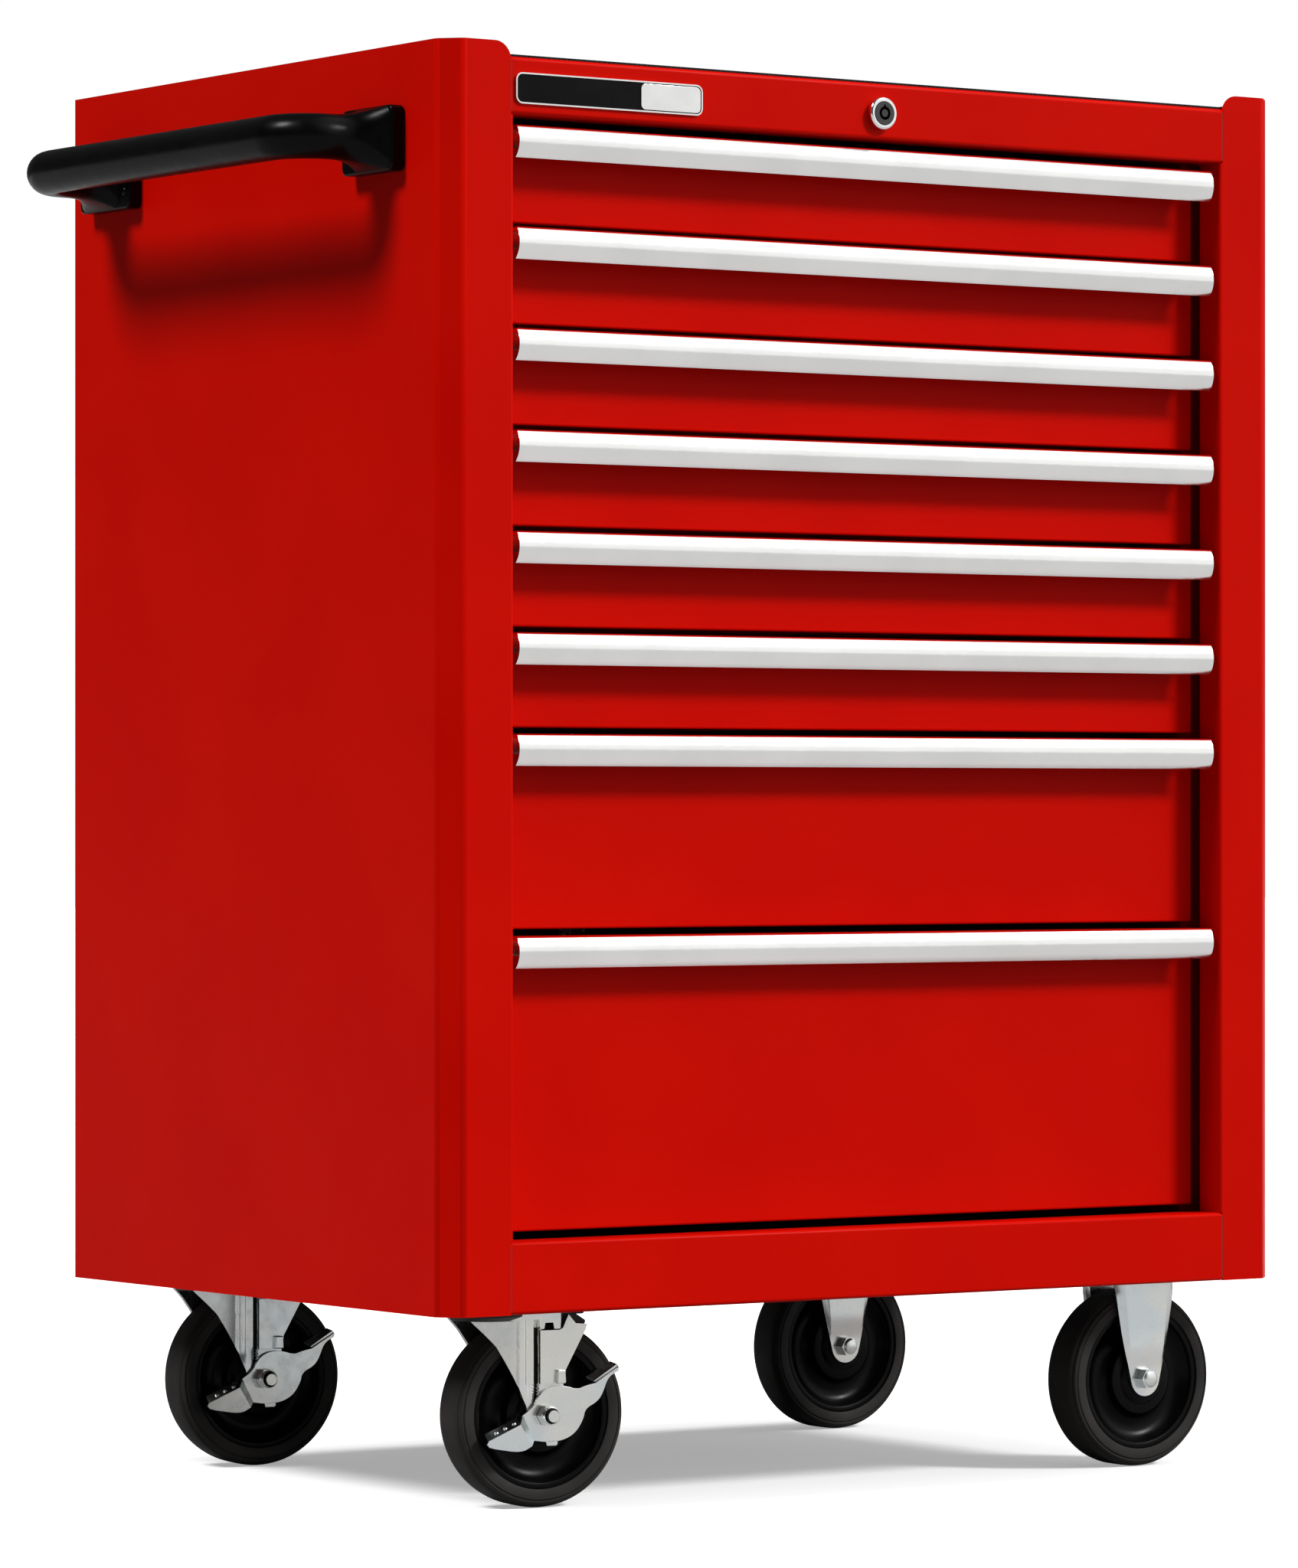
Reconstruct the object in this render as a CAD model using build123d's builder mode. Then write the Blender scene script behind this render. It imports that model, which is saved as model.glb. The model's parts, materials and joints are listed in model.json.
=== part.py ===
from build123d import *
import os

os.makedirs("parts", exist_ok=True)

# A rolling tool chest: a folded sheet-steel cabinet on four castors, with eight drawers on
# ball-bearing runners, a central lock and a push handle on its left side.
# Millimetres. +Z up, -Y is the drawer front, +X the viewer's right. The origin is on the
# floor, at the centre of the outline that the chest and its push handle cover.

# ---- Driving dimensions -------------------------------------------------------------------
cabinet_width = 700.0
cabinet_depth = 488.0
body_height = 835.0
ground_clearance = 133.0      # floor to the lower edge of the body
sheet = 1.2                   # cabinet steel
bend = 2.5                    # outside radius of an ordinary fold
handle_reach = 82.0           # push handle beyond the left side panel
lock_reach = 6.0              # lock bezel in front of the fascia

corner_chamfer = 13.3         # the 45 degree face on each front corner
chamfer_bend = 6.0
post_width = 52.5             # side panel's front fold, seen from the front
post_return = 24.0            # how far the post folds back beside the drawers
post_lip = 14.0
seam_step = 2.4               # fascia and rail lap the post's inner bend by this much
rear_flange = 22.0
skirt_lip = 18.0

ear_rise = 9.8                # side panels stand this far above the deck
ear_radius = 12.5
fascia_height = 37.9
fascia_return = 22.0
deck_bend = 3.0
mat_thickness = 1.8
mat_margin = 3.0
rail_height = 47.8
rail_return = 25.0

drawer_sheet = 1.0
drawer_units = (1, 1, 1, 1, 1, 1, 2, 3)
unit_height = 66.6
drawer_gap = 4.5              # between one drawer front and the next handle
first_gap = 6.4               # between the fascia and the top handle
front_setback = 26.8          # drawer fronts behind the posts' front faces
front_width = 585.6
front_fold = 10.0
front_bend = 1.5
tray_width = 570.6
tray_depth = 410.0
tray_floor_rise = 2.0         # tray floor above the lower edge of its front
tray_top_drop = 9.0           # tray walls below the top edge of its front

runner_length = 400.0
runner_width = 12.7
runner_setback = 38.0
runner_rise = 28.0            # runner centre line above the lower edge of the front
runner_sheet = 1.2
rivet_gap = 0.1

handle_height = 21.0
handle_wall = 1.8
handle_nose_drop = 8.0        # nose of the pull below its top edge
handle_top_lean = 2.7         # top edge behind the nose
handle_bottom_lean = 4.8      # bottom edge behind the nose
handle_setback = 0.9          # nose behind the posts' front faces
handle_end_gap = 0.2

wheel_radius = 62.5
tyre_half_width = 16.0
hub_half_width = 16.8
tyre_depth = 12.5
tyre_shoulder = 6.0
axle_radius = 6.0
bolt_radius = 4.0
running_gap = 0.05
leg_inner = 17.5
leg_thickness = 2.5
castor_height = 157.0
castor_inset = 64.5           # castor centre line from the front and the back of the body
swivel_inset = 73.0           # swivel axis from the left side
swivel_trail = 33.0
fixed_inset = 84.0
swivel_angle = -7.0           # the swivel castors stand turned a little towards the front
plate_size = (105.0, 80.0)
plate_thickness = 3.5
plate_hole_pitch = (80.0, 60.0)
king_pin_radius = 7.0

grip_radius = 15.0
grip_rise = 774.0             # grip centre line above the lower edge of the body
arm_setbacks = (81.0, 426.0)  # the push handle's two arms behind the front
bracket_lengths = (62.0, 68.0)
bracket_height = 43.5
bracket_rise = 773.0
screw_radius = 2.5
screw_spread = 14.0
screw_shift = 10.0

# ---- Reference positions --------------------------------------------------------------------
left = handle_reach - (cabinet_width + handle_reach) / 2
right = left + cabinet_width
mid = (left + right) / 2
front = lock_reach - (cabinet_depth + lock_reach) / 2
back = front + cabinet_depth
base = ground_clearance
top = base + body_height
deck = top - ear_rise
fascia_bottom = deck - fascia_height
rail_top = base + rail_height
seam = post_width - seam_step
front_face = front + front_setback
upright_face = tray_width / 2 + runner_width
lock_z = fascia_bottom + 17.3
grip_z = base + grip_rise
bracket_z = base + bracket_rise
arm_front, arm_back = (front + setback for setback in arm_setbacks)
mirror_plane = Plane.YZ.offset(mid)


def drawer_spans():
    """Lower and upper edge of each drawer front, from the top drawer down."""
    upper = fascia_bottom - first_gap
    for units in drawer_units:
        lower = upper - units * unit_height
        yield lower + drawer_gap, upper
        upper = lower


def save(shape, label):
    """Name a finished piece and write its STEP file."""
    shape.label = label
    export_step(shape, f"parts/{label}.step")


def folded_section(plane, corners, radius, thickness, side):
    """Section of a bent sheet whose outer face runs through the corner points."""
    with BuildSketch(plane) as section:
        with BuildLine():
            FilletPolyline(*corners, radius=radius)
            offset(amount=thickness, side=side)
        make_face()
    return section.sketch


def span_box(x, y, z, mode=Mode.ADD):
    """A block between two limits on each axis."""
    with Locations(((x[0] + x[1]) / 2, (y[0] + y[1]) / 2, (z[0] + z[1]) / 2)):
        return Box(abs(x[1] - x[0]), abs(y[1] - y[0]), abs(z[1] - z[0]), mode=mode)


def y_plane(x, y, z):
    """Sketch plane that looks along +Y: its own x is +X, its own y is +Z."""
    return Plane(origin=(x, y, z), x_dir=(1, 0, 0), z_dir=(0, -1, 0))


def bracket_screw_planes():
    """Where the push handle's screws pass the left side panel, from its inner face inwards."""
    for arm_y in (arm_front, arm_back):
        for rise in (-screw_spread, screw_spread):
            yield Plane(origin=(left + sheet, arm_y - screw_shift, bracket_z + rise), z_dir=(1, 0, 0))


def deck_outline(inset):
    """Outline of a sheet that fits between the side panels and their cut front corners."""
    with BuildSketch(Plane.XY.offset(deck)) as outline:
        with Locations((mid, (front + back) / 2)):
            Rectangle(cabinet_width - 2 * inset, cabinet_depth - 2 * inset)
        chamfer(outline.vertices().group_by(Axis.Y)[0], length=corner_chamfer)
        chamfer(outline.vertices().group_by(Axis.Y)[-1], length=bend)
    return outline.sketch


# ---- Cabinet sheet metal -----------------------------------------------------------------------
# One side panel is a single folded sheet: rear flange, side, 45 degree corner, post, post return.
with BuildPart() as side_panel:
    panel_outline = [
        (left + rear_flange, back),
        (left, back),
        (left, front + corner_chamfer),
        (left + corner_chamfer, front),
        (left + post_width, front),
        (left + post_width, front + post_return),
        (left + post_width - post_lip, front + post_return),
    ]
    panel_bends = (bend, chamfer_bend, chamfer_bend, bend, bend)
    panel_section = folded_section(
        Plane.XY.offset(base), panel_outline, panel_bends, sheet, Side.LEFT
    )
    extrude(panel_section, amount=body_height)
    span_box(
        (left + sheet / 2, left + skirt_lip), (front + post_return, back - 2 * sheet), (base, base + sheet)
    )
    # The fascia above and the rail below take the place of the post's inner bend.
    inner_strip = (left + seam, left + post_width + 1)
    return_depth = (front - 1, front + post_return + 1)
    span_box(inner_strip, return_depth, (fascia_bottom, top + 1), mode=Mode.SUBTRACT)
    span_box(inner_strip, return_depth, (base - 1, rail_top), mode=Mode.SUBTRACT)
    span_box(
        (left + corner_chamfer, left + post_width + 1),
        (front + 2 * sheet, front + post_return + 1),
        (fascia_bottom, top + 1),
        mode=Mode.SUBTRACT,
    )
    # The rear flange ends under the deck.
    span_box(
        (left + bend, left + rear_flange + 1),
        (back - 2 * sheet, back + 1),
        (deck, top + 1),
        mode=Mode.SUBTRACT,
    )
    # Rounded inner corner of the ear above the deck.
    with BuildSketch(y_plane(left + seam - ear_radius / 2, front - 1, top - ear_radius / 2)):
        Rectangle(ear_radius, ear_radius)
        with Locations((-ear_radius / 2, -ear_radius / 2)):
            Circle(ear_radius, mode=Mode.SUBTRACT)
    extrude(amount=-post_return, mode=Mode.SUBTRACT)

with BuildPart() as left_side_panel:
    add(side_panel.part)
    for hole_plane in bracket_screw_planes():
        with BuildSketch(hole_plane):
            Circle(screw_radius + running_gap)
        extrude(amount=-2 * sheet, mode=Mode.SUBTRACT)
save(left_side_panel.part, "left_side_panel")

with BuildPart() as right_side_panel:
    mirror(side_panel.part, about=mirror_plane)
save(right_side_panel.part, "right_side_panel")

with BuildPart() as back_panel:
    span_box(
        (left + 3 * sheet, right - 3 * sheet),
        (back - 2 * sheet, back - sheet),
        (base + 2 * sheet, deck - sheet),
    )
save(back_panel.part, "back_panel")

# Deck and fascia are one folded sheet with a hole for the lock.
lock_barrel_radius = 9.5
with BuildPart() as top_panel:
    fascia_outline = [
        (front + fascia_return, fascia_bottom),
        (front, fascia_bottom),
        (front, deck),
        (front + fascia_return, deck),
    ]
    fascia_section = folded_section(
        Plane.YZ.offset(left + seam), fascia_outline, (bend, deck_bend), sheet, Side.RIGHT
    )
    extrude(fascia_section, amount=cabinet_width - 2 * seam)
    extrude(deck_outline(sheet + running_gap), amount=-sheet)
    with BuildSketch(y_plane(mid, front - 1, lock_z)):
        Circle(lock_barrel_radius)
    extrude(amount=-fascia_return / 2, mode=Mode.SUBTRACT)
save(top_panel.part, "top_panel")

with BuildPart() as top_mat:
    extrude(deck_outline(mat_margin), amount=mat_thickness)
    fillet(top_mat.faces().sort_by(Axis.Z)[-1].edges(), radius=1)
save(top_mat.part, "top_mat")

with BuildPart() as bottom_rail:
    rail_outline = [
        (front + rail_return, rail_top),
        (front, rail_top),
        (front, base),
        (front + rail_return, base),
    ]
    rail_section = folded_section(Plane.YZ.offset(left + seam), rail_outline, bend, sheet, Side.LEFT)
    extrude(rail_section, amount=cabinet_width - 2 * seam)
save(bottom_rail.part, "bottom_rail")

# Floor pan: a shallow tray, which the castors bolt to from below.
pan_wall = 18.0
with BuildPart() as floor_pan:
    span_box(
        (left + sheet, right - sheet),
        (front + post_return + 2 * sheet, back - 2 * sheet),
        (castor_height, castor_height + pan_wall),
    )
    offset(amount=-sheet, openings=floor_pan.faces().sort_by(Axis.Z)[-1])
    for x_bolt_group in (left + swivel_inset, right - fixed_inset):
        for y_bolt_group in (front + castor_inset, back - castor_inset):
            with Locations((x_bolt_group, y_bolt_group, castor_height)):
                with GridLocations(*plate_hole_pitch, 2, 2):
                    Cylinder(bolt_radius + 0.4, 6 * sheet, mode=Mode.SUBTRACT)
save(floor_pan.part, "floor_pan")

# ---- Drawer runners ---------------------------------------------------------------------------
upright_half_width = 20.0
upright_flange = 12.0
upright_setbacks = (castor_inset, cabinet_depth - castor_inset)


def upright(centre_y):
    """Hat-section upright on the left side panel, with its web facing the drawers."""
    wall = left + sheet
    web = mid - upright_face - runner_sheet
    corners = [
        (wall, centre_y - upright_half_width - upright_flange),
        (wall, centre_y - upright_half_width),
        (web, centre_y - upright_half_width),
        (web, centre_y + upright_half_width),
        (wall, centre_y + upright_half_width),
        (wall, centre_y + upright_half_width + upright_flange),
    ]
    foot = castor_height + pan_wall + sheet
    section = folded_section(Plane.XY.offset(foot), corners, bend, runner_sheet, Side.RIGHT)
    return extrude(section, amount=fascia_bottom - foot + fascia_return)


with BuildPart() as runner_uprights:
    for setback in upright_setbacks:
        left_upright = upright(front + setback)
        add(left_upright)
        mirror(left_upright, about=mirror_plane)
save(runner_uprights.part, "runner_uprights")


def runner_member(web_x, lip_x, half_height, centre_z):
    """C-section runner member: its web at web_x, its lips reaching to lip_x."""
    inside = 1 if lip_x > web_x else -1
    with BuildPart(mode=Mode.PRIVATE) as member:
        with BuildSketch(y_plane(0, front + runner_setback, centre_z)):
            with Locations(((web_x + lip_x) / 2, 0)):
                Rectangle(abs(lip_x - web_x), 2 * half_height)
            with Locations(((web_x + lip_x) / 2 + inside * runner_sheet, 0)):
                Rectangle(abs(lip_x - web_x), 2 * (half_height - runner_sheet), mode=Mode.SUBTRACT)
        extrude(amount=-runner_length)
    return member.part


# Each pair of members is drawn on the left and mirrored. Offsets are from the chest's middle.
outer_web, outer_lip, outer_half_height = mid - upright_face, mid - 288.0, 18.0
middle_web, middle_lip, middle_half_height = mid - 294.5, mid - 287.5, 14.0
inner_web, inner_lip, inner_half_height = mid - tray_width / 2 - rivet_gap, mid - 292.0, 10.0

with BuildPart() as runner_outer_members:
    for lower, upper in drawer_spans():
        left_member = runner_member(outer_web, outer_lip, outer_half_height, lower + runner_rise)
        add(left_member)
        mirror(left_member, about=mirror_plane)
save(runner_outer_members.part, "runner_outer_members")

for number, (lower, upper) in enumerate(drawer_spans(), start=1):
    with BuildPart() as runner_middle:
        left_member = runner_member(middle_web, middle_lip, middle_half_height, lower + runner_rise)
        add(left_member)
        mirror(left_member, about=mirror_plane)
    save(runner_middle.part, f"runner_{number}_middle")

# ---- Drawers ------------------------------------------------------------------------------------
nose = front + handle_setback
catch_width = 24.0            # tab at the back of each tray, which the lock bar hooks
catch_depth = 14.0
catch_drop = 15.0             # tab below the top edge of the drawer front
catch_lip = 9.0
lock_bar_x = mid + 60.0


def drawer_tray(lower, upper):
    """Open tray with its folded front, lock catch and the two runner members riveted to it."""
    tray_back = front_face + drawer_sheet + tray_depth
    tray_floor = lower + tray_floor_rise
    tray_top = upper - tray_top_drop
    with BuildPart() as tray:
        span_box(
            (mid - tray_width / 2, mid + tray_width / 2),
            (front_face + drawer_sheet, tray_back),
            (tray_floor, tray_top),
        )
        fillet(tray.edges().filter_by(Axis.Z).group_by(Axis.Y)[-1], radius=bend)
        offset(amount=-drawer_sheet, openings=tray.faces().sort_by(Axis.Z)[-1])
        front_outline = [
            (front_face + front_fold, lower),
            (front_face, lower),
            (front_face, upper - drawer_sheet),
            (nose + handle_top_lean, upper - drawer_sheet),
        ]
        front_section = folded_section(
            Plane.YZ.offset(mid - front_width / 2), front_outline, front_bend, drawer_sheet, Side.RIGHT
        )
        extrude(front_section, amount=front_width)
        for end in (-1, 1):
            outer_x = mid + end * front_width / 2
            span_box(
                (outer_x - end * drawer_sheet, outer_x),
                (front_face + drawer_sheet / 2, front_face + front_fold),
                (lower + drawer_sheet / 2, upper - bend),
            )
        catch_z = upper - catch_drop
        catch_x = (lock_bar_x - catch_width / 2, lock_bar_x + catch_width / 2)
        catch_tip = tray_back + catch_depth
        span_box(catch_x, (tray_back - drawer_sheet / 2, catch_tip), (catch_z - drawer_sheet, catch_z))
        span_box(catch_x, (catch_tip - drawer_sheet, catch_tip), (catch_z - catch_lip, catch_z))
        left_member = runner_member(inner_web, inner_lip, inner_half_height, lower + runner_rise)
        add(left_member)
        mirror(left_member, about=mirror_plane)
    return tray.part


def drawer_handle(upper):
    """Extruded aluminium pull, hooked under the front's top flange: open below for the fingers."""
    crown = upper - drawer_sheet
    foot = upper - handle_height
    with BuildPart() as handle:
        with BuildSketch(Plane.YZ.offset(mid - front_width / 2 + handle_end_gap)):
            with BuildLine():
                top_edge = (nose + handle_top_lean, crown)
                nose_point = (nose, upper - handle_nose_drop)
                bottom_edge = (nose + handle_bottom_lean, foot)
                inner_bottom = (nose + handle_bottom_lean + handle_wall, foot + handle_wall / 3)
                inner_nose = (nose + handle_wall, upper - handle_nose_drop)
                inner_top = (nose + handle_top_lean + handle_wall, crown - handle_wall)
                web_root = (front_face - handle_wall, crown - handle_wall)
                lip_inner = (front_face - handle_wall, foot + handle_nose_drop)
                lip_outer = (front_face, foot + handle_nose_drop)
                ThreePointArc(top_edge, nose_point, bottom_edge)
                Line(bottom_edge, inner_bottom)
                ThreePointArc(inner_bottom, inner_nose, inner_top)
                under_bend = (front_face, crown - front_bend)
                past_bend = (front_face - front_bend, crown)
                Polyline(inner_top, web_root, lip_inner, lip_outer, under_bend, past_bend, top_edge)
            make_face()
        extrude(amount=front_width - 2 * handle_end_gap)
    return handle.part


for number, (lower, upper) in enumerate(drawer_spans(), start=1):
    save(drawer_tray(lower, upper), f"drawer_{number}_tray")
    save(drawer_handle(upper), f"drawer_{number}_handle")

# ---- Lock ---------------------------------------------------------------------------------------
bezel_radius = 11.0
plug_radius = 8.0
key_ring_radius = 4.6
key_pin_radius = 2.6
lock_length = 24.0
crank_throw = 8.0
crank_y = back - 26.0         # the crank arm, just ahead of the lock bar
bar_thickness = 3.0
bar_width = 24.0
finger_drop = 33.0            # lock finger below the top edge of a drawer front, when unlocked

with BuildPart() as lock_housing:
    with BuildSketch(y_plane(mid, front, lock_z)):
        Circle(bezel_radius)
    extrude(amount=lock_reach - 0.5)
    fillet(lock_housing.faces().sort_by(Axis.Y)[0].edges(), radius=1.5)
    with BuildSketch(y_plane(mid, front, lock_z)):
        Circle(lock_barrel_radius - 0.2)
    extrude(amount=-lock_length)
    with BuildSketch(y_plane(mid, front - lock_reach, lock_z)):
        Circle(plug_radius + running_gap)
    extrude(amount=-lock_length - lock_reach, mode=Mode.SUBTRACT)
save(lock_housing.part, "lock_housing")

# The plug has the ring-shaped slot of a tubular key.
with BuildPart() as lock_core:
    with BuildSketch(y_plane(mid, front - lock_reach, lock_z)):
        Circle(plug_radius)
    extrude(amount=-lock_length - lock_reach - 2)
    with BuildSketch(y_plane(mid, front - lock_reach, lock_z)):
        Circle(key_ring_radius)
        Circle(key_pin_radius, mode=Mode.SUBTRACT)
        with Locations((0, key_ring_radius)):
            Rectangle(1.6, 2.4)
    extrude(amount=-8, mode=Mode.SUBTRACT)
save(lock_core.part, "lock_core")

# The lock rod carries the plug's turn to the back, where its crank pin lifts the lock bar.
rod_radius = 4.0
pin_radius = 2.0
with BuildPart() as lock_rod:
    with BuildSketch(y_plane(mid, front + lock_length + 2, lock_z)):
        Circle(rod_radius)
    extrude(amount=-(crank_y - front - lock_length - 2))
    with BuildSketch(y_plane(mid + crank_throw / 2, crank_y - bar_thickness, lock_z)):
        SlotCenterToCenter(crank_throw, 2 * rod_radius)
    extrude(amount=-bar_thickness)
    with BuildSketch(y_plane(mid + crank_throw, crank_y, lock_z)):
        Circle(pin_radius)
    extrude(amount=-4 * bar_thickness)
save(lock_rod.part, "lock_rod")

# A flat bar slides up behind the trays. One finger for each drawer hooks inside its catch, and
# an arm at the top rests above the crank pin.
bar_face = crank_y + bar_thickness
finger_thickness = 2.0
with BuildPart() as lock_bar:
    drawer_tops = [upper for lower, upper in drawer_spans()]
    bar_x = (lock_bar_x - bar_width / 2, lock_bar_x + bar_width / 2)
    bar_foot = drawer_tops[-1] - finger_drop - 30
    arm_z = lock_z + pin_radius + 2.5
    span_box(bar_x, (bar_face, bar_face + bar_thickness), (bar_foot, arm_z + bar_thickness))
    span_box(
        (mid - rod_radius, lock_bar_x),
        (bar_face, bar_face + bar_thickness),
        (arm_z, arm_z + bar_thickness),
    )
    catch_back = front_face + drawer_sheet + tray_depth + catch_depth
    finger_tip = catch_back - drawer_sheet - 3 * finger_thickness
    for drawer_top in drawer_tops:
        finger_z = drawer_top - finger_drop
        span_box(bar_x, (finger_tip, bar_face), (finger_z - finger_thickness, finger_z))
        span_box(bar_x, (finger_tip, finger_tip + finger_thickness), (finger_z, finger_z + 7))
save(lock_bar.part, "lock_bar")

# ---- Badge plate ---------------------------------------------------------------------------------
badge_size = (149.0, 20.5)
badge_thickness = 1.8
badge_inset = 53.0            # badge plate from the left side
badge_x = left + badge_inset + badge_size[0] / 2
badge_z = fascia_bottom + 17.4
with BuildPart() as badge_plate:
    with BuildSketch(y_plane(badge_x, front, badge_z)):
        RectangleRounded(*badge_size, 5)
    extrude(amount=badge_thickness)
    # Raised rim round a plain sunk field.
    with BuildSketch(y_plane(badge_x, front - badge_thickness, badge_z)):
        RectangleRounded(badge_size[0] - 2, badge_size[1] - 2, 4)
    extrude(amount=-0.6, mode=Mode.SUBTRACT)
save(badge_plate.part, "badge_plate")

# ---- Push handle ----------------------------------------------------------------------------------
elbow_radius = 27.0
bracket_depth = 29.0
bracket_corner = 5.0
socket_depth = 23.0
screw_length = 5.0
grip_x = left - handle_reach + grip_radius

with BuildPart() as push_handle_grip:
    with BuildLine() as grip_path:
        FilletPolyline(
            (left - bracket_depth + socket_depth, arm_front, grip_z),
            (grip_x, arm_front, grip_z),
            (grip_x, arm_back, grip_z),
            (left - bracket_depth + socket_depth, arm_back, grip_z),
            radius=elbow_radius,
        )
    with BuildSketch(Plane(origin=grip_path.line @ 0, z_dir=grip_path.line % 0)):
        Circle(grip_radius)
        Circle(grip_radius - 2.5, mode=Mode.SUBTRACT)
    sweep()
save(push_handle_grip.part, "push_handle_grip")

with BuildPart() as push_handle_brackets:
    for arm_y, bracket_length in zip((arm_front, arm_back), bracket_lengths):
        with BuildSketch(Plane(origin=(left, arm_y, bracket_z), x_dir=(0, 1, 0), z_dir=(-1, 0, 0))):
            RectangleRounded(bracket_length, bracket_height, bracket_corner)
        with BuildSketch(
            Plane(origin=(left - bracket_depth, arm_y, grip_z), x_dir=(0, 1, 0), z_dir=(-1, 0, 0))
        ):
            RectangleRounded(2 * grip_radius + 6, 2 * grip_radius + 6, grip_radius + 2)
        loft()
        with BuildSketch(Plane(origin=(left - bracket_depth, arm_y, grip_z), z_dir=(1, 0, 0))):
            Circle(grip_radius + running_gap)
        extrude(amount=socket_depth + 0.5, mode=Mode.SUBTRACT)
    for screw_plane in bracket_screw_planes():
        with BuildSketch(screw_plane):
            Circle(screw_radius + running_gap)
        extrude(amount=-sheet - screw_length, mode=Mode.SUBTRACT)
save(push_handle_brackets.part, "push_handle_brackets")

# Pan-head screws from inside the cabinet hold each bracket.
with BuildPart() as push_handle_screws:
    for screw_plane in bracket_screw_planes():
        with BuildSketch(screw_plane):
            Circle(2 * screw_radius)
        extrude(amount=screw_radius)
        with BuildSketch(screw_plane):
            Circle(screw_radius)
        extrude(amount=-sheet - screw_length)
save(push_handle_screws.part, "push_handle_screws")

# ---- Castors --------------------------------------------------------------------------------------
swivel_x = left + swivel_inset
swivel_axle_x = swivel_x + swivel_trail
fixed_axle_x = right - fixed_inset
castor_rows = {"front": front + castor_inset, "rear": back - castor_inset}
leg_outer = leg_inner + leg_thickness
plate_bottom = castor_height - plate_thickness
crown_top = base - 1.5         # the forks swing clear of the body's lower edge
crown_thickness = 3.0


def castor_plate(centre_x, centre_y):
    """Mounting plate with its four bolt holes."""
    with BuildPart() as plate:
        with BuildSketch(Plane.XY.offset(plate_bottom)):
            with Locations((centre_x, centre_y)):
                RectangleRounded(*plate_size, 6)
                with GridLocations(*plate_hole_pitch, 2, 2):
                    Circle(bolt_radius + 0.4, mode=Mode.SUBTRACT)
        extrude(amount=plate_thickness)
    return plate.part


def tyre(axle_x, centre_y):
    """Solid tyre with a crowned tread and rounded shoulders."""
    with BuildPart() as wheel:
        with BuildSketch(Plane.YZ.offset(axle_x)) as ring:
            with Locations((centre_y, 2 * wheel_radius - tyre_depth / 2)):
                Rectangle(2 * tyre_half_width, tyre_depth)
            tread_corners = ring.vertices().group_by(Axis.Y)[-1]
            fillet(tread_corners, radius=tyre_shoulder)
        revolve(axis=Axis((axle_x, centre_y, wheel_radius), (0, 1, 0)))
    return wheel.part


def rim(axle_x, centre_y):
    """Moulded wheel centre: hub, dished web and the band under the tyre."""
    band_radius = wheel_radius - tyre_depth
    hub_radius = 20.0
    web_half_width = 4.0
    band_wall = 5.0
    band_half_width = 14.0
    half_outline = [
        (hub_half_width, axle_radius + running_gap),
        (hub_half_width, hub_radius),
        (web_half_width, hub_radius + 6),
        (web_half_width, band_radius - band_wall - 3),
        (band_half_width, band_radius - band_wall),
        (band_half_width, band_radius),
    ]
    front_half = [(centre_y - across, wheel_radius + out) for across, out in half_outline]
    rear_half = [(centre_y + across, wheel_radius + out) for across, out in reversed(half_outline)]
    with BuildPart() as wheel:
        with BuildSketch(Plane.YZ.offset(axle_x)):
            with BuildLine():
                Polyline(*front_half, *rear_half, close=True)
            make_face()
        revolve(axis=Axis((axle_x, centre_y, wheel_radius), (0, 1, 0)))
    return wheel.part


def axle(axle_x, centre_y, spacing, stud_length):
    """Hex bolt through the fork with its nut, and the sleeve that the wheel turns on.

    spacing is what lies between the fork and the front hexagon, and stud_length is how far the
    thread stands out of that hexagon."""
    flats = 13.0
    front_hex = 6.0
    rear_hex = 7.0
    front_seat = centre_y - leg_outer - spacing
    with BuildPart() as bolt:
        with BuildSketch(y_plane(axle_x, centre_y - leg_inner, wheel_radius)):
            Circle(axle_radius)
        extrude(amount=-2 * leg_inner)
        with BuildSketch(y_plane(axle_x, front_seat - front_hex - stud_length, wheel_radius)):
            Circle(bolt_radius)
        extrude(amount=-(2 * leg_outer + spacing + front_hex + stud_length))
        with BuildSketch(y_plane(axle_x, front_seat, wheel_radius)):
            RegularPolygon(flats / 2, 6, major_radius=False)
        extrude(amount=front_hex)
        with BuildSketch(y_plane(axle_x, centre_y + leg_outer, wheel_radius)):
            RegularPolygon(flats / 2, 6, major_radius=False)
        extrude(amount=-rear_hex)
    return bolt.part


def leg_slab(axle_x, leg_face, outline):
    """One fork leg: an outline in the wheel's plane, given from the axle, one sheet thick."""
    with BuildPart() as leg:
        with BuildSketch(y_plane(axle_x, leg_face, wheel_radius)):
            with BuildLine():
                Polyline(*outline, close=True)
            make_face()
            Circle(12.5)
            Circle(bolt_radius + 0.1, mode=Mode.SUBTRACT)
        extrude(amount=-leg_thickness)
    return leg.part


crown_rise = crown_top - wheel_radius     # fork crown above the axle

fixed_rise = plate_bottom - wheel_radius
fixed_leg = [(-12.2, -2), (12.2, -2), (26.5, fixed_rise), (-26.5, fixed_rise)]

with BuildPart() as fixed_castor_forks:
    for centre_y in castor_rows.values():
        add(castor_plate(fixed_axle_x, centre_y))
        for leg_face in (centre_y - leg_outer, centre_y + leg_inner):
            add(leg_slab(fixed_axle_x, leg_face, fixed_leg))
save(fixed_castor_forks.part, "fixed_castor_forks")

with BuildPart() as fixed_castor_axles:
    for centre_y in castor_rows.values():
        add(axle(fixed_axle_x, centre_y, 0, 0))
save(fixed_castor_axles.part, "fixed_castor_axles")

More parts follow.
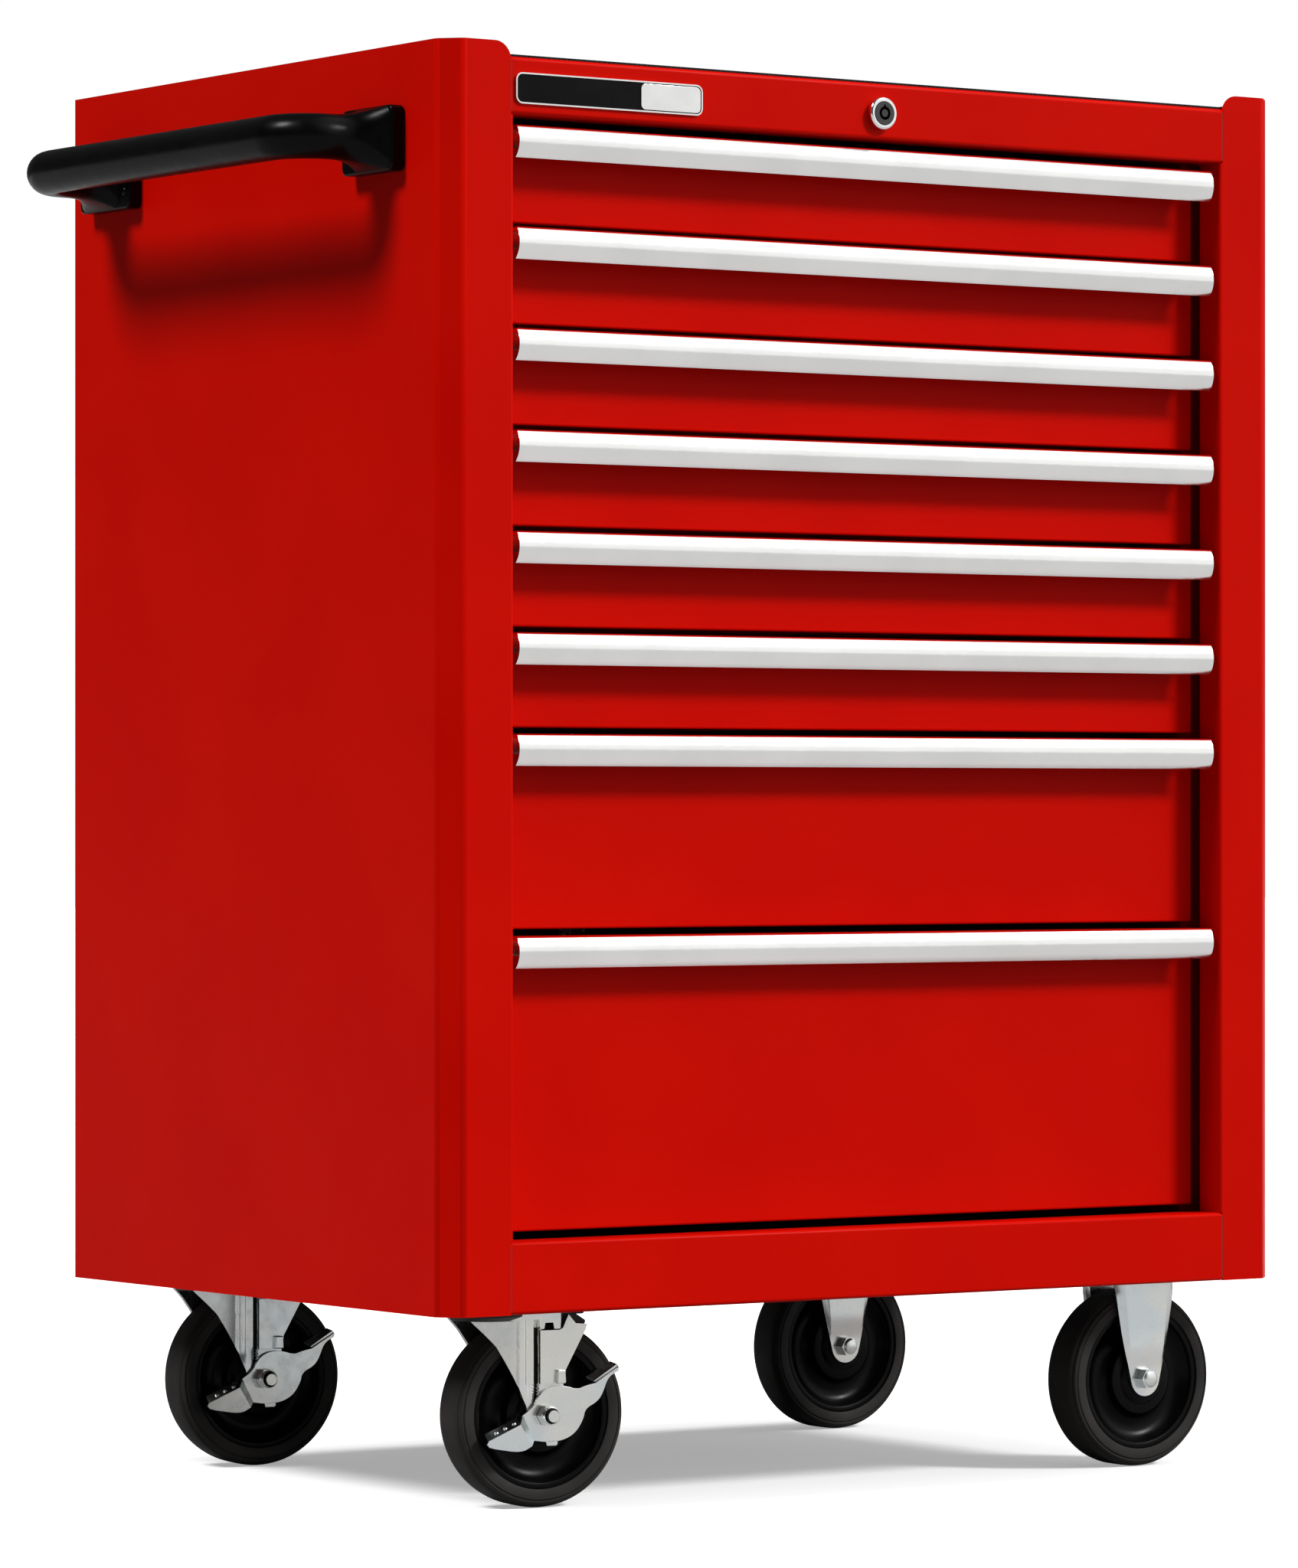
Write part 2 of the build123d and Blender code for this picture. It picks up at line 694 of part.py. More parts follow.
# Mounting plates of the swivel castors, each with the king pin that its fork turns on.
king_pin_foot = 124.5
king_pin_collar = 3.0
with BuildPart() as swivel_castor_plates:
    for centre_y in castor_rows.values():
        add(castor_plate(swivel_x, centre_y))
        with BuildSketch(Plane.XY.offset(king_pin_foot)):
            with Locations((swivel_x, centre_y)):
                Circle(king_pin_radius)
        extrude(amount=plate_bottom - king_pin_foot)
        with BuildSketch(Plane.XY.offset(king_pin_foot)):
            with Locations((swivel_x, centre_y)):
                Circle(1.5 * king_pin_radius)
        extrude(amount=king_pin_collar)
save(swivel_castor_plates.part, "swivel_castor_plates")

# Sixteen bolts: heads under the castor plates, nuts on top of the floor pan.
plate_bolt_flats = 13.0
with BuildPart() as castor_bolts:
    for centre_x in (swivel_x, fixed_axle_x):
        for centre_y in castor_rows.values():
            with BuildSketch(Plane.XY.offset(plate_bottom)):
                with Locations((centre_x, centre_y)):
                    with GridLocations(*plate_hole_pitch, 2, 2):
                        RegularPolygon(plate_bolt_flats / 2, 6, major_radius=False)
            extrude(amount=-5)
            with BuildSketch(Plane.XY.offset(plate_bottom)):
                with Locations((centre_x, centre_y)):
                    with GridLocations(*plate_hole_pitch, 2, 2):
                        Circle(bolt_radius)
            extrude(amount=plate_thickness + sheet + 9)
            with BuildSketch(Plane.XY.offset(castor_height + sheet)):
                with Locations((centre_x, centre_y)):
                    with GridLocations(*plate_hole_pitch, 2, 2):
                        RegularPolygon(plate_bolt_flats / 2, 6, major_radius=False)
            extrude(amount=6.5)
save(castor_bolts.part, "castor_bolts")

swivel_leg = [
    (-12.2, -2), (12.2, -2), (16, 20), (31, 57), (31, crown_rise), (-62, crown_rise),
    (-59, crown_rise - 5), (-50, 56), (-41, 46), (-33, 35), (-25.6, 23.6), (-20, 13),
]
bearing_radius = 27.0
bearing_top = plate_bottom - 1.0


def swivel_fork(centre_y):
    """Fork: two legs, a crown between them and the bearing cup round the king pin."""
    with BuildPart() as fork:
        for leg_face in (centre_y - leg_outer, centre_y + leg_inner):
            add(leg_slab(swivel_axle_x, leg_face, swivel_leg))
        span_box(
            (swivel_axle_x - 62, swivel_axle_x + 31),
            (centre_y - leg_inner - 0.5, centre_y + leg_inner + 0.5),
            (crown_top - crown_thickness, crown_top),
        )
        with BuildSketch(Plane.XY.offset(crown_top - crown_thickness)):
            with Locations((swivel_x, centre_y)):
                Circle(bearing_radius)
        extrude(amount=bearing_top - crown_top + crown_thickness, taper=8)
        with BuildSketch(Plane.XY.offset(crown_top - crown_thickness)):
            with Locations((swivel_x, centre_y)):
                Circle(king_pin_radius + running_gap)
        extrude(amount=castor_height - crown_top, mode=Mode.SUBTRACT)
    return fork.part


# Outlines of the brake lever, given from the axle in the wheel's plane.
lever_plate = [
    (-17.5, 0.5), (-9.8, 5.4), (-5, 14), (1, 18), (7.8, 19.3), (14, 18.8), (22.8, 17.7), (29, 19.5),
    (37, 20), (54, 30), (54, 27.5), (46, 23.6), (42, 12.9), (38, 7.5), (29, 3.2), (26, -6.4),
    (21.5, -12.9), (13.7, -16.6), (-0.7, -17), (-9, -16.6),
]
release_joggle = [(-17.5, 0.5), (-9, -16.6), (-14, -19.5), (-22.5, -5)]
release_pedal = [(-20, -6), (-12, -18), (-22, -24), (-51, -20.5), (-54, -17)]
release_tread = [(-20, -6), (-54, -17), (-53.5, -19), (-20, -8)]
brake_tread = [(36, 19.5), (54, 30), (54.6, 28.3), (37, 17.8)]
lever_gap = 0.5
lever_thickness = 2.5
pedal_step = 7.0
tread_lap = 3.5


def brake_lever(centre_y):
    """Two-ended pedal beside the wheel, which turns on the axle bolt. Its right end is trodden
    down to brake, and its left end, joggled away from the wheel, to release."""
    lever_back = centre_y - leg_outer - lever_gap
    lever_face = lever_back - lever_thickness
    slabs = [
        (lever_plate, lever_back, lever_thickness),
        (release_joggle, lever_back, pedal_step + lever_thickness),
        (release_pedal, lever_face - pedal_step + lever_thickness, lever_thickness),
        (release_tread, lever_back, pedal_step + lever_thickness),
        (brake_tread, lever_back + tread_lap, tread_lap + lever_thickness),
    ]
    with BuildPart() as lever:
        for outline, slab_back, depth in slabs:
            with BuildSketch(y_plane(swivel_axle_x, slab_back, wheel_radius)):
                with BuildLine():
                    Polyline(*outline, close=True)
                make_face()
            extrude(amount=depth)
        with BuildSketch(y_plane(swivel_axle_x, lever_back, wheel_radius)):
            Circle(bolt_radius + running_gap)
        extrude(amount=lever_thickness, mode=Mode.SUBTRACT)
    return lever.part


lever_stack = lever_gap + lever_thickness + lever_gap
swivel_stud_length = 5.0
for name, centre_y in castor_rows.items():
    king_pin = Axis((swivel_x, centre_y, 0), (0, 0, 1))
    swivel_pieces = {
        f"{name}_swivel_fork": swivel_fork(centre_y),
        f"{name}_swivel_axle": axle(swivel_axle_x, centre_y, lever_stack, swivel_stud_length),
        f"{name}_brake_lever": brake_lever(centre_y),
        f"{name}_swivel_tyre": tyre(swivel_axle_x, centre_y),
        f"{name}_swivel_rim": rim(swivel_axle_x, centre_y),
    }
    for label, piece in swivel_pieces.items():
        save(piece.rotate(king_pin, swivel_angle), label)
    save(tyre(fixed_axle_x, centre_y), f"{name}_fixed_tyre")
    save(rim(fixed_axle_x, centre_y), f"{name}_fixed_rim")
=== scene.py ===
import json
import math

import bpy
import bmesh
from mathutils import Matrix, Vector


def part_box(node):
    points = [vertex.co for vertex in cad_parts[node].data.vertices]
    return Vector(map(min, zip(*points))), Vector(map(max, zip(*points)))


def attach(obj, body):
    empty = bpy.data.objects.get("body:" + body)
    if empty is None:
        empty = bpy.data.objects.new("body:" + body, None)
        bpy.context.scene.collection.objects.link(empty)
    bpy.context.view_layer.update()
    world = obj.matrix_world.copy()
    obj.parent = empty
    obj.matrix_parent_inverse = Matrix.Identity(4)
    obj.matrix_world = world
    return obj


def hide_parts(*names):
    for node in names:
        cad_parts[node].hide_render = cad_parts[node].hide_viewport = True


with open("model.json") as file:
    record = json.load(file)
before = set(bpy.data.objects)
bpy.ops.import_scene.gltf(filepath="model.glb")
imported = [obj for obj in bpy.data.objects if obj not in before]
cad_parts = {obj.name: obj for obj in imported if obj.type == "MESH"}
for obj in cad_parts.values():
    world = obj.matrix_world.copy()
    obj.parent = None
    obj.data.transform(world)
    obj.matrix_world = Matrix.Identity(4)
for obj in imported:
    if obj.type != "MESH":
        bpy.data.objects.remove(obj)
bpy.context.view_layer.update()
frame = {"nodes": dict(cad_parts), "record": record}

# The looks of the rolling tool chest. Lengths are written in millimetres and turned to metres
# by MM. The frame is the part's own: +Z up, -Y is the drawer front, origin on the floor.
MM = 0.001

# ---- Where things are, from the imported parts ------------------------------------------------
left, front, base = (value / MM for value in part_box("left_side_panel")[0])
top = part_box("left_side_panel")[1].z / MM
right, back = (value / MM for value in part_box("right_side_panel")[1][:2])
mid = (left + right) / 2
fascia_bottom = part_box("top_panel")[0].z / MM
joints = {joint["name"]: joint for joint in frame["record"]["behaviour"]["joints"]}
castor_rows = ("front", "rear")


# ---- Materials ------------------------------------------------------------------------------
def new_material(name):
    """An empty node material with its Principled shader and an Object coordinate source."""
    material = bpy.data.materials.new(name)
    material.use_nodes = True
    tree = material.node_tree
    shader = tree.nodes["Principled BSDF"]
    coordinates = tree.nodes.new("ShaderNodeTexCoord")
    return material, tree, shader, coordinates.outputs["Object"]


def stretched(tree, source, scale):
    """Coordinates scaled differently along each axis."""
    mapping = tree.nodes.new("ShaderNodeMapping")
    mapping.inputs["Scale"].default_value = scale
    tree.links.new(source, mapping.inputs["Vector"])
    return mapping.outputs["Vector"]


def noise(tree, source, scale, detail=3.0, roughness=0.5):
    node = tree.nodes.new("ShaderNodeTexNoise")
    node.inputs["Scale"].default_value = scale
    node.inputs["Detail"].default_value = detail
    node.inputs["Roughness"].default_value = roughness
    tree.links.new(source, node.inputs["Vector"])
    return node.outputs["Fac"]


def ramp(tree, source, stops):
    """Colour ramp from (position, colour) stops."""
    node = tree.nodes.new("ShaderNodeValToRGB")
    elements = node.color_ramp.elements
    while len(elements) < len(stops):
        elements.new(0.5)
    for element, (position, colour) in zip(elements, stops):
        element.position = position
        element.color = (*colour, 1.0)
    tree.links.new(source, node.inputs["Fac"])
    return node.outputs["Color"]


def spread(tree, source, low, high, start=0.3, end=0.7):
    """Map a noise value onto low..high."""
    node = tree.nodes.new("ShaderNodeMapRange")
    node.inputs["From Min"].default_value = start
    node.inputs["From Max"].default_value = end
    node.inputs["To Min"].default_value = low
    node.inputs["To Max"].default_value = high
    tree.links.new(source, node.inputs["Value"])
    return node.outputs["Result"]


def bump(tree, height, depth, normal=None):
    """Bump of a given real depth in metres, on top of another normal if there is one."""
    node = tree.nodes.new("ShaderNodeBump")
    node.inputs["Strength"].default_value = 1.0
    node.inputs["Distance"].default_value = depth
    tree.links.new(height, node.inputs["Height"])
    if normal is not None:
        tree.links.new(normal, node.inputs["Normal"])
    return node.outputs["Normal"]


def paint(name, dark, light, gloss, peel, specular):
    """Powder coat: slight patchiness in colour and gloss, and a fine orange peel."""
    material, tree, shader, place = new_material(name)
    patches = noise(tree, place, 9.0)
    tree.links.new(ramp(tree, patches, [(0.35, dark), (0.65, light)]), shader.inputs["Base Color"])
    gloss_patches = spread(tree, noise(tree, place, 40.0), gloss - 0.03, gloss + 0.03)
    tree.links.new(gloss_patches, shader.inputs["Roughness"])
    coarse = bump(tree, noise(tree, place, 420.0, 1.0), peel)
    fine = bump(tree, noise(tree, place, 1500.0, 2.0), peel / 4, normal=coarse)
    tree.links.new(fine, shader.inputs["Normal"])
    shader.inputs["Specular IOR Level"].default_value = specular
    return material


def metal(name, colours, gloss, grain, grain_depth, swell=0.0):
    """Bare or plated metal: colour drifts between two tints, with a directional grain.

    swell is the depth of slow waves in the surface, which make its reflections wander."""
    material, tree, shader, place = new_material(name)
    drift = noise(tree, place, 14.0, 4.0, 0.6)
    tint = ramp(tree, drift, [(0.38, colours[0]), (0.62, colours[1])])
    tree.links.new(tint, shader.inputs["Base Color"])
    streaks = noise(tree, stretched(tree, place, grain), 1.0, 4.0, 0.6)
    tree.links.new(spread(tree, streaks, gloss - 0.05, gloss + 0.05), shader.inputs["Roughness"])
    waves = bump(tree, noise(tree, place, 45.0, 2.0), swell)
    tree.links.new(bump(tree, streaks, grain_depth, normal=waves), shader.inputs["Normal"])
    shader.inputs["Metallic"].default_value = 1.0
    return material


def moulded(name, dark, light, gloss, texture_scale, texture_depth, specular):
    """Moulded plastic or rubber: faint mottling and a fine skin texture."""
    material, tree, shader, place = new_material(name)
    mottling = ramp(tree, noise(tree, place, 30.0, 4.0), [(0.35, dark), (0.65, light)])
    tree.links.new(mottling, shader.inputs["Base Color"])
    gloss_patches = spread(tree, noise(tree, place, 90.0), gloss - 0.05, gloss + 0.05)
    tree.links.new(gloss_patches, shader.inputs["Roughness"])
    skin = bump(tree, noise(tree, place, texture_scale, 2.0), texture_depth)
    tree.links.new(skin, shader.inputs["Normal"])
    shader.inputs["Specular IOR Level"].default_value = specular
    return material


def ribbed_mat():
    """Rubber mat with fine ribs from front to back, 4 mm apart."""
    material, tree, shader, place = new_material("mat_rubber")
    mottling = ramp(tree, noise(tree, place, 25.0, 4.0), [(0.3, (0.006,) * 3), (0.7, (0.011,) * 3)])
    tree.links.new(mottling, shader.inputs["Base Color"])
    tree.links.new(spread(tree, noise(tree, place, 120.0), 0.55, 0.7), shader.inputs["Roughness"])
    ribs = tree.nodes.new("ShaderNodeTexWave")
    ribs.bands_direction = "X"
    ribs.inputs["Scale"].default_value = 78.5       # 4 mm apart: this node has 20 / (2 pi) ribs per unit
    tree.links.new(place, ribs.inputs["Vector"])
    skin = bump(tree, noise(tree, place, 900.0, 2.0), 0.00003)
    tree.links.new(bump(tree, ribs.outputs["Fac"], 0.0006, normal=skin), shader.inputs["Normal"])
    shader.inputs["Specular IOR Level"].default_value = 0.08
    return material


# Colours are linear. Metals give their grain's scale and its depth in metres, then their swell's.
finishes = {
    "red_paint": paint(
        "red_powder_coat", (0.59, 0.0026, 0.0), (0.62, 0.0036, 0.0),
        gloss=0.34, peel=0.00002, specular=0.03,
    ),
    "black_paint": paint(
        "black_powder_coat", (0.012,) * 3, (0.018,) * 3, gloss=0.5, peel=0.00003, specular=0.3
    ),
    "mat_rubber": ribbed_mat(),
    "anodised_aluminium": metal(
        "anodised_aluminium", [(0.84, 0.84, 0.83), (0.89, 0.89, 0.88)], 0.16,
        (160, 700, 700), 0.000022, swell=0.00008,
    ),
    "zinc_steel": metal(
        "zinc_plate", [(0.66, 0.72, 0.74), (0.78, 0.77, 0.72)], 0.25,
        (120, 120, 120), 0.000002, swell=0.00003,
    ),
    "grey_rubber": moulded(
        "tyre_rubber", (0.021, 0.019, 0.018), (0.030, 0.028, 0.026), 0.6, 700.0, 0.00004, specular=0.15
    ),
    "black_plastic": moulded(
        "black_nylon", (0.0006,) * 3, (0.0014,) * 3, 0.3, 900.0, 0.00001, specular=0.09
    ),
    "chrome": metal("chrome", [(0.78, 0.78, 0.80), (0.84, 0.84, 0.85)], 0.1, (200, 200, 200), 0.000002),
    "black_lock": metal("lock_face", [(0.05,) * 3, (0.08,) * 3], 0.25, (300, 300, 300), 0.000004),
    "badge_metal": metal(
        "badge_rim", [(0.70, 0.70, 0.69), (0.78, 0.78, 0.77)], 0.25, (300, 300, 300), 0.000004
    ),
}
badge_field = moulded("badge_field", (0.003,) * 3, (0.006,) * 3, 0.4, 900.0, 0.00002, 0.05)

for subpart in frame["record"]["subparts"]:
    mesh = frame["nodes"][subpart["node"]].data
    mesh.materials.clear()
    mesh.materials.append(finishes[subpart["material_slot"]])

# The badge keeps a bright rim round its black sunk field.
badge = frame["nodes"]["badge_plate"].data
badge.materials.append(badge_field)
badge_low, badge_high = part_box("badge_plate")
field_margin = 0.9 * MM
field_sink = 0.3 * MM
for polygon in badge.polygons:
    inside_x = badge_low.x + field_margin < polygon.center.x < badge_high.x - field_margin
    inside_z = badge_low.z + field_margin < polygon.center.z < badge_high.z - field_margin
    sunk = polygon.normal.y < -0.9 and polygon.center.y > badge_low.y + field_sink
    if sunk and inside_x and inside_z:
        polygon.material_index = 1


# ---- Building pieces ------------------------------------------------------------------------
def new_piece(name, corners, faces, place, body, slot, replaced=(), sharp=35):
    """A mesh from corners in millimetres, set in place, that rides on a body."""
    mesh = bpy.data.meshes.new(name)
    mesh.from_pydata([place @ (Vector(corner) * MM) for corner in corners], [], faces)
    shell = bmesh.new()
    shell.from_mesh(mesh)
    bmesh.ops.remove_doubles(shell, verts=shell.verts, dist=0.01 * MM)
    shell.to_mesh(mesh)
    shell.free()
    mesh.validate()
    mesh.polygons.foreach_set("use_smooth", [True] * len(mesh.polygons))
    mesh.set_sharp_from_angle(angle=math.radians(sharp))
    mesh.materials.append(finishes[slot])
    piece = bpy.data.objects.new(name, mesh)
    bpy.context.scene.collection.objects.link(piece)
    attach(piece, body)
    if replaced:
        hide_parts(*replaced)
    return piece


def bevelled(piece, width, angle=40):
    """Round a piece's sharp edges by a width in millimetres."""
    modifier = piece.modifiers.new("edges", "BEVEL")
    modifier.width = width * MM
    modifier.segments = 3
    modifier.limit_method = "ANGLE"
    modifier.angle_limit = math.radians(angle)
    modifier.harden_normals = True
    return piece


def prism(outline, near, far):
    """Corners and faces of a flat plate: an outline in x and z, from y = near to y = far."""
    count = len(outline)
    corners = [(x, near, z) for x, z in outline] + [(x, far, z) for x, z in outline]
    faces = [tuple(range(count)), tuple(range(2 * count - 1, count - 1, -1))]
    for index in range(count):
        after = (index + 1) % count
        faces.append((after, index, index + count, after + count))
    return corners, faces


def joined(*parts):
    """Several (corners, faces) pairs as one."""
    corners, faces = [], []
    for part_corners, part_faces in parts:
        start = len(corners)
        corners += part_corners
        faces += [tuple(start + index for index in face) for face in part_faces]
    return corners, faces


def rings(sections, closed=False):
    """Skin between equal rings of corners. Open skins are capped at both ends."""
    count = len(sections[0])
    corners = [corner for section in sections for corner in section]
    faces = []
    last = len(sections) if closed else len(sections) - 1
    for step in range(last):
        this, following = step * count, (step + 1) % len(sections) * count
        for index in range(count):
            after = (index + 1) % count
            faces.append((this + index, this + after, following + after, following + index))
    if not closed:
        faces.append(tuple(reversed(range(count))))
        faces.append(tuple(range(len(corners) - count, len(corners))))
    return corners, faces


def lathe(profile, segments=96):
    """Turned solid about the y axis, from a closed profile of (along, radius) points."""
    sections = []
    for step in range(segments):
        angle = 2 * math.pi * step / segments
        sections.append([(r * math.sin(angle), along, r * math.cos(angle)) for along, r in profile])
    return rings(sections, closed=True)


def rounded_rectangle(half_width, half_height, radius):
    """Outline of a rectangle with round corners, anticlockwise."""
    outline = []
    corner_steps = 8
    for quarter, (side, rise) in enumerate(((1, 1), (-1, 1), (-1, -1), (1, -1))):
        for step in range(corner_steps + 1):
            angle = math.pi / 2 * (quarter + step / corner_steps)
            x = side * (half_width - radius) + radius * math.cos(angle)
            z = rise * (half_height - radius) + radius * math.sin(angle)
            outline.append((x, z))
    return outline


def dome(centre, outward, radius, height):
    """Round rivet head on a surface whose normal is outward."""
    segments = 24
    turn = Vector((0, 0, 1)).rotation_difference(Vector(outward)).to_matrix()
    sections = []
    for rise in (-0.3, 0.0, 0.45, 0.8, 0.96, 1.0):
        reach = radius * math.sqrt(max(1 - max(rise, 0) ** 2, 0.002))
        section = []
        for step in range(segments):
            angle = 2 * math.pi * step / segments
            spot = Vector((reach * math.cos(angle), reach * math.sin(angle), rise * height))
            section.append(tuple(Vector(centre) + turn @ spot))
        sections.append(section)
    return rings(sections)


def edge_at(edge, z):
    """Where an edge, given as (x, z) points from low to high, is at a height."""
    for (x_low, z_low), (x_high, z_high) in zip(edge, edge[1:]):
        if z <= z_high:
            return x_low + (x_high - x_low) * (z - z_low) / (z_high - z_low)
    return edge[-1][0]


def pressed(left_edge, right_edge, heights, stations, face, mirror=1):
    """Sheet pressing between two edges, with face(x, z) giving its y. mirror = -1 makes the far one.

    stations are shares of the way across."""
    corners, faces = [], []
    for z in heights:
        low, high = edge_at(left_edge, z), edge_at(right_edge, z)
        for share in stations:
            x = low + (high - low) * share
            corners.append((x, mirror * face(x, z), z))
    width = len(stations)
    for row in range(len(heights) - 1):
        for column in range(width - 1):
            corner = row * width + column
            quad = (corner, corner + 1, corner + width + 1, corner + width)
            faces.append(quad if mirror == 1 else tuple(reversed(quad)))
    return corners, faces


def thickened(piece, thickness, edge):
    """Give an open pressing its sheet thickness and soft edges."""
    modifier = piece.modifiers.new("sheet", "SOLIDIFY")
    modifier.thickness = thickness * MM
    modifier.offset = -1.0
    return bevelled(piece, edge, angle=60)


def steps(start, end, count):
    """Evenly spaced values from start to end, both of them included."""
    return [start + (end - start) * index / count for index in range(count + 1)]


in_row = Matrix.Identity(4)         # for pieces whose corners are given in the row frame

# ---- Badge ----------------------------------------------------------------------------------
# A blank bright panel fills the right part of the badge's sunk field.
panel_half_width, panel_half_height, panel_corner = 24.0, 8.6, 3.5
panel_inset = 1.6
panel_x = badge_high.x / MM - panel_half_width - panel_inset
panel_z = (badge_low.z + badge_high.z) / MM / 2
panel_shape = rounded_rectangle(panel_half_width, panel_half_height, panel_corner)
panel_outline = [(panel_x + x, panel_z + z) for x, z in panel_shape]
panel_face = badge_low.y / MM + 0.1
panel_solid = prism(panel_outline, panel_face, panel_face + 0.5)
bevelled(new_piece("badge_panel", *panel_solid, in_row, "cabinet", "badge_metal"), 0.15)

# ---- Cabinet edges --------------------------------------------------------------------------
# A little rounding on the sheet edges shows the seams and catches the light.
for name in ("top_panel", "bottom_rail", "left_side_panel", "right_side_panel", "lock_housing"):
    node = frame["nodes"][name]
    weld = node.modifiers.new("weld", "WELD")
    weld.merge_threshold = 0.002 * MM
    bevelled(node, 0.3, angle=70)

# Painted shade: thin black strips stand in for the shade in the gaps where the fascia and the bottom
# rail meet the posts.
seam_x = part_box("bottom_rail")[0].x / MM
rail_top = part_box("bottom_rail")[1].z / MM
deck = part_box("top_panel")[1].z / MM
seam_width = 0.5
seam_proud, seam_sunk = 0.03, 0.4
seam_shade_strips = []
for seam_left in (seam_x, 2 * mid - seam_x - seam_width):
    for low, high in ((base + 1.5, rail_top - 2), (fascia_bottom + 2, deck - 2.5)):
        seam_right = seam_left + seam_width
        outline = [(seam_left, low), (seam_right, low), (seam_right, high), (seam_left, high)]
        seam_shade_strips.append(prism(outline, front - seam_proud, front + seam_sunk))
new_piece("painted_seam_shade", *joined(*seam_shade_strips), in_row, "cabinet", "black_paint")

# ---- Push handle ----------------------------------------------------------------------------
grip_low, grip_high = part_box("push_handle_grip")
foot_low, foot_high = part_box("push_handle_brackets")
grip_radius = (grip_high.z - grip_low.z) / MM / 2
grip_z = (grip_high.z + grip_low.z) / MM / 2
arm_front = grip_low.y / MM + grip_radius
arm_back = grip_high.y / MM - grip_radius
grip_x = grip_low.x / MM + grip_radius
foot_half_height = (foot_high.z - foot_low.z) / MM / 2
foot_z = (foot_high.z + foot_low.z) / MM / 2
foot_fronts = (foot_low.y / MM, arm_back - (foot_high.y / MM - arm_back))
foot_backs = (arm_front + (arm_front - foot_low.y / MM), foot_high.y / MM)
foot_depth = 11.0
foot_corner = 5.0
elbow_radius = 27.0
flare_depth = left - grip_x - elbow_radius


def handle_section(centre, across, half_width, half_height, radius):
    """Ring round a path point: across is the horizontal direction of its width."""
    ring = []
    for u, v in rounded_rectangle(half_width, half_height, radius):
        ring.append(tuple(Vector(centre) + Vector(across) * u + Vector((0, 0, v))))
    return ring


def round_section(centre, across):
    return handle_section(centre, across, grip_radius, grip_radius, grip_radius)


def flare(arm_y, foot_front, foot_back, inner):
    """Rings from the foot block out to the round arm. inner is +1 where the handle's inside is +Y."""
    sections = []
    flare_rings = 11
    flare_corner = 6.0
    ledge = 13.0                  # part of the foot block that the arm leaves bare
    wide_low = foot_front + (0 if inner == 1 else ledge)
    wide_high = foot_back - (ledge if inner == 1 else 0)
    for step in range(flare_rings):
        along = step / (flare_rings - 1)
        spread_out = (1 - along) ** 2.4
        half_width = grip_radius + spread_out * ((wide_high - wide_low) / 2 - 1 - grip_radius)
        half_height = grip_radius + spread_out * (foot_half_height - 0.5 - grip_radius)
        radius = grip_radius - spread_out * (grip_radius - flare_corner)
        centre_y = arm_y + spread_out * ((wide_low + wide_high) / 2 - arm_y)
        centre_z = grip_z + spread_out * (foot_z - grip_z)
        depth = foot_depth - 1 + along * (flare_depth - foot_depth + 1)
        centre = (left - depth, centre_y, centre_z)
        sections.append(handle_section(centre, (0, inner, 0), half_width, half_height, radius))
    return sections


def elbow(centre, start):
    """Rings round a quarter turn of the tube, from an angle at its start."""
    sections = []
    elbow_steps = 12
    for step in range(1, elbow_steps):
        angle = math.radians(start - 90 * step / elbow_steps)
        out = (math.cos(angle), math.sin(angle), 0)
        spot = Vector(centre) + elbow_radius * Vector(out)
        sections.append(round_section(spot, (-out[0], -out[1], 0)))
    return sections


handle_rings = flare(arm_front, foot_fronts[0], foot_backs[0], 1)
handle_rings += elbow((grip_x + elbow_radius, arm_front + elbow_radius, grip_z), 270)
for grip_y in steps(arm_front + elbow_radius, arm_back - elbow_radius, 6):
    handle_rings.append(round_section((grip_x, grip_y, grip_z), (1, 0, 0)))
handle_rings += elbow((grip_x + elbow_radius, arm_back - elbow_radius, grip_z), 180)
handle_rings += reversed(flare(arm_back, foot_fronts[1], foot_backs[1], -1))
new_piece(
    "push_handle", *rings(handle_rings), in_row, "cabinet", "black_plastic",
    ("push_handle_grip",), sharp=60,
)

blocks = []
for foot_front, foot_back in zip(foot_fronts, foot_backs):
    half_length = (foot_back - foot_front) / 2
    block = []
    for depth in (0.0, foot_depth):
        centre = (left - depth, foot_front + half_length, foot_z)
        block.append(handle_section(centre, (0, 1, 0), half_length, foot_half_height, foot_corner))
    blocks.append(rings(block))
feet = new_piece(
    "push_handle_feet", *joined(*blocks), in_row, "cabinet", "black_plastic", ("push_handle_brackets",)
)
bevelled(feet, 1.5)
screw_inset, screw_rise = 6.5, 10
foot_screws = []
for ledge_y in (foot_backs[0] - screw_inset, foot_fronts[1] + screw_inset):
    for screw_z in (foot_z - screw_rise, foot_z + screw_rise):
        foot_screws.append(dome((left - foot_depth, ledge_y, screw_z), (-1, 0, 0), 3.2, 1.6))
new_piece("push_handle_screw_heads", *joined(*foot_screws), in_row, "cabinet", "black_plastic")

# ---- Castors --------------------------------------------------------------------------------
# Castor pieces are drawn from their axle: x along the wheel, y along the axle, z up. The near leg
# is on -y, where its outer face is at -leg_outer.
leg_outer = 20.0
leg_sheet = 2.5
leg_foot_radius = 12.5
body_rise = 69.0                  # top of the swivel fork's crown above the axle


def wheel_place(joint_name):
    """Turns axle coordinates into the row frame, from the wheel's spin joint."""
    joint = joints[joint_name]
    along = Vector(joint["axis"])
    upward = Vector((0, 0, 1))
    turn = Matrix((along.cross(upward), along, upward)).transposed().to_4x4()
    return Matrix.Translation(Vector(joint["pos_m"])) @ turn


